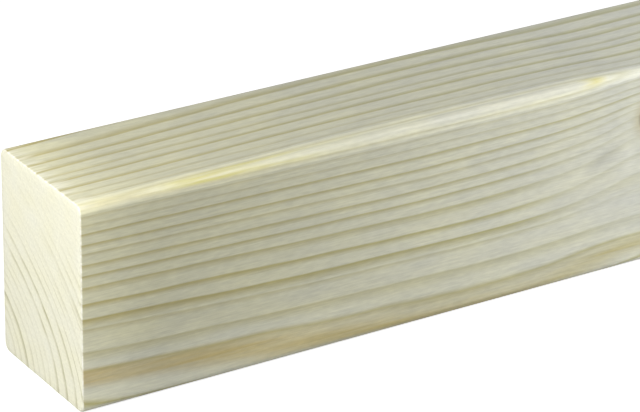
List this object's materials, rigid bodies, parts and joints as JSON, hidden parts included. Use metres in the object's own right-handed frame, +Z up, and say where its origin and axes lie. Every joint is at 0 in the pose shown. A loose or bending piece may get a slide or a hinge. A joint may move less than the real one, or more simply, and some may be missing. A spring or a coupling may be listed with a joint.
{
  "type": "planed timber lumber plank",
  "caption": "Solid planed softwood plank of near-square section with rounded long edges and square-cut, lightly eased ends, for framing and battening.",
  "frame": {"origin": "middle of the narrow face that the plank stands on, halfway along its length", "axes": "+X along the length, away from the end that the picture shows; +Y across the narrow faces, away from the wide face that the picture shows; +Z up the wide faces"},
  "size_m": [2, 0.054, 0.074],
  "materials": {
    "planed_spruce": "matte"
  },
  "bodies": {
    "root": {"plank": "planed_spruce"}
  },
  "joints": []
}
